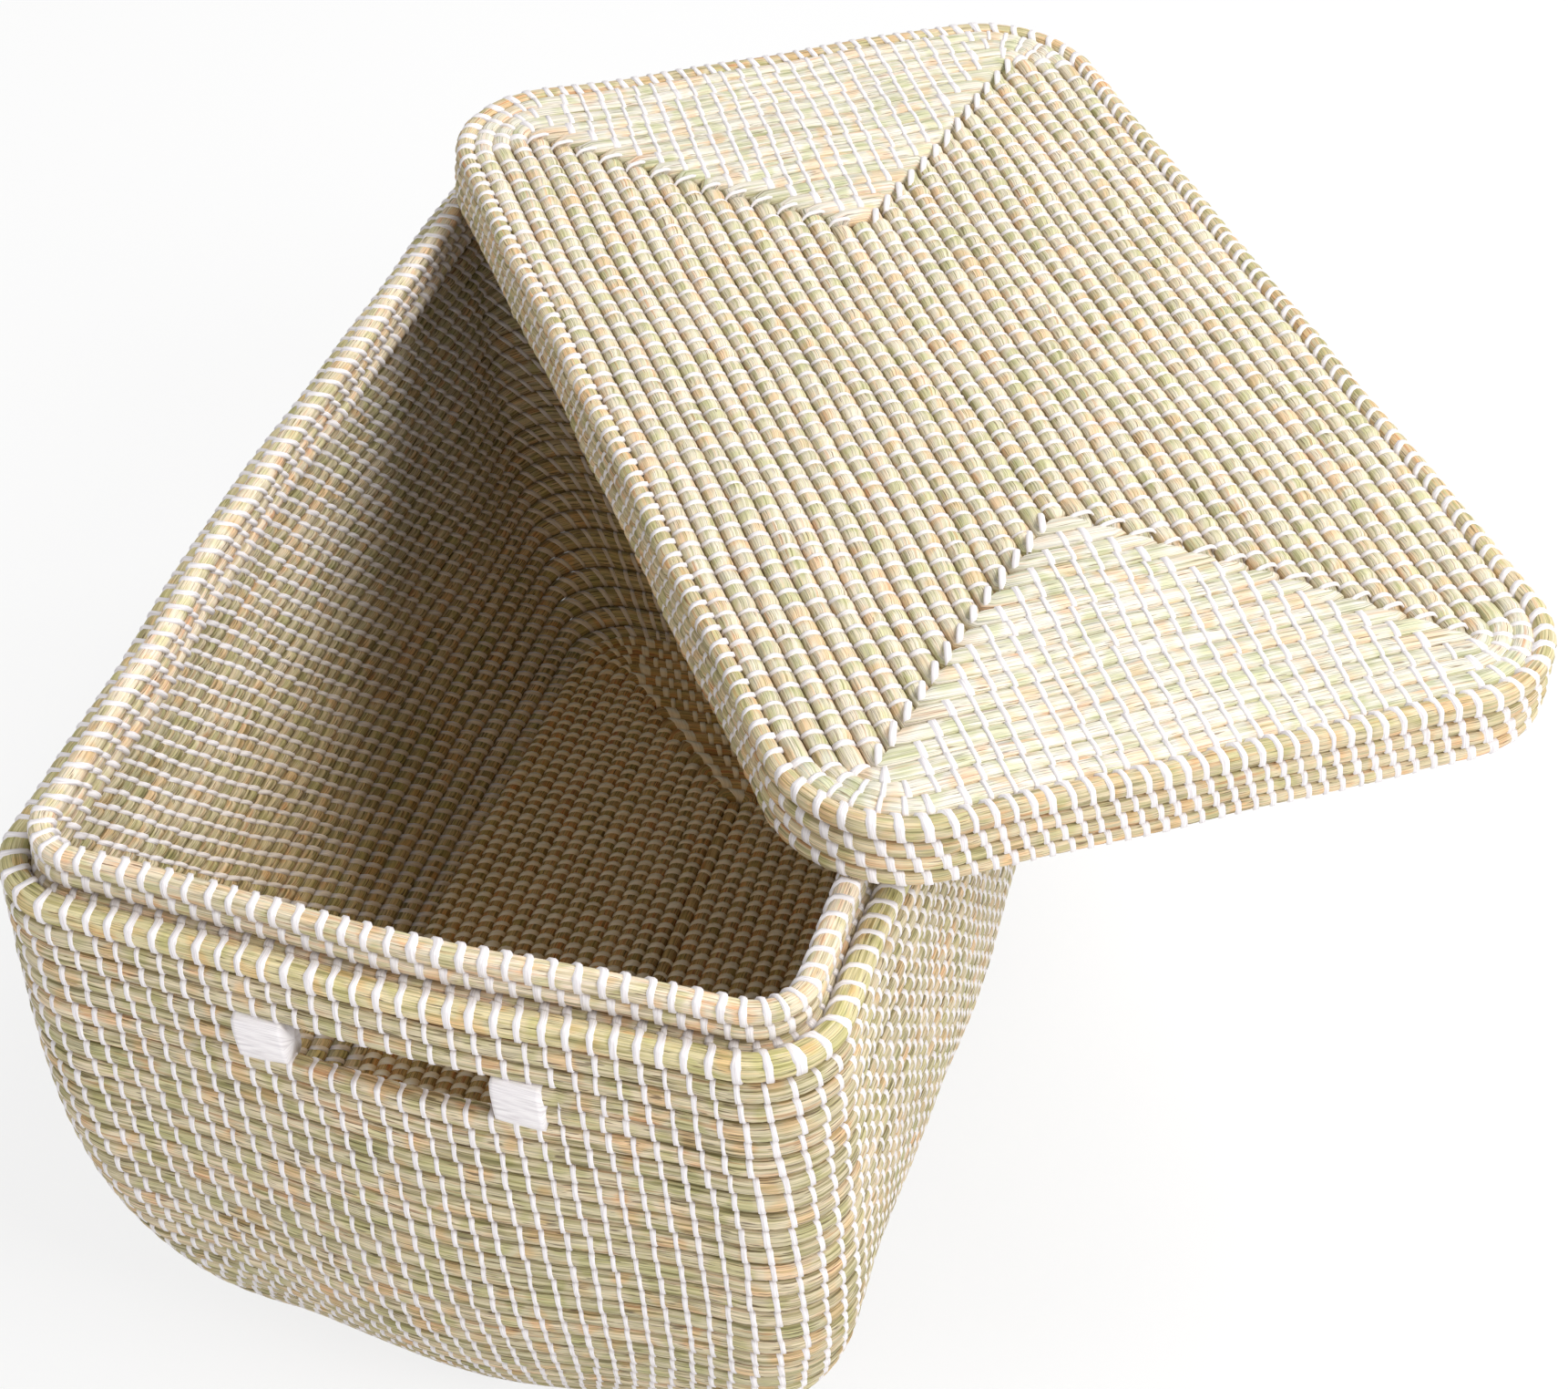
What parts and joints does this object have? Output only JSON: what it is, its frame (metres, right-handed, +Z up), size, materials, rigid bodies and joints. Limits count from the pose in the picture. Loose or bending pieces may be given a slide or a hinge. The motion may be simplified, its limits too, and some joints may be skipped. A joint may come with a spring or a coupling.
{
  "type": "laundry basket",
  "caption": "Rectangular laundry basket of coiled grass sewn with white strip, with a hand slot in each end and a loose lid lying askew across its open rim",
  "frame": {"origin": "middle of the floor's underside, on the ground", "axes": "+Z up, Y along the basket's length, with the end seen nearest at -Y, and X across it"},
  "size_m": [0.5813, 0.7269, 0.292],
  "materials": {
    "wall_grass": "coiled dry grass, straw with green and brown streaks",
    "floor_grass": "coiled dry grass, browner",
    "rim_grass": "coiled dry grass, warm tan",
    "lid_grass": "coiled dry grass, pale straw",
    "skirt_grass": "coiled dry grass, straw",
    "sewing_strip": "flat white strip with a slight sheen"
  },
  "bodies": {
    "basket": {"wall_course_01": "wall_grass", "wall_course_02": "wall_grass", "wall_course_03": "wall_grass", "wall_course_04": "wall_grass", "wall_course_05": "wall_grass", "wall_course_06": "wall_grass", "wall_course_07": "wall_grass", "wall_course_08": "wall_grass", "wall_course_09": "wall_grass", "wall_course_10": "wall_grass", "wall_course_11": "wall_grass", "wall_course_12": "wall_grass", "wall_course_13": "wall_grass", "wall_course_14": "wall_grass", "wall_course_15": "wall_grass", "wall_course_16": "wall_grass", "wall_course_17": "wall_grass", "wall_course_18": "wall_grass", "wall_course_19": "wall_grass", "wall_course_20": "wall_grass", "wall_course_21": "wall_grass", "wall_course_22": "wall_grass", "wall_course_23": "wall_grass", "wall_course_24": "wall_grass", "wall_course_25": "wall_grass", "wall_course_26": "wall_grass", "wall_course_27": "wall_grass", "shoulder_coil": "rim_grass", "rim_coil_1": "rim_grass", "rim_coil_2": "rim_grass", "rim_coil_3": "rim_grass", "handle_wraps_near": "sewing_strip", "handle_wraps_far": "sewing_strip", "floor_loops_1": "floor_grass", "floor_loops_2": "floor_grass", "floor_loops_3": "floor_grass", "floor_loops_4": "floor_grass"},
    "lid": {"lid_edge_coil": "skirt_grass", "lid_skirt_coil_1": "skirt_grass", "lid_skirt_coil_2": "skirt_grass", "lid_skirt_coil_3": "skirt_grass", "lid_loop_01": "lid_grass", "lid_loop_02": "lid_grass", "lid_loop_03": "lid_grass", "lid_loop_04": "lid_grass", "lid_loop_05": "lid_grass", "lid_loop_06": "lid_grass", "lid_loop_07": "lid_grass", "lid_loop_08": "lid_grass", "lid_loop_09": "lid_grass", "lid_loop_10": "lid_grass", "lid_loop_11": "lid_grass", "lid_loop_12": "lid_grass", "lid_loop_13": "lid_grass", "lid_loop_14": "lid_grass", "lid_loop_15": "lid_grass", "lid_loop_16": "lid_grass", "lid_ridge": "lid_grass"}
  },
  "joints": [
    {"name": "lid_lift", "type": "slide", "parent": "basket", "child": "lid", "axis": [0, 0, 1], "range_m": [0, 0.28]}
  ]
}
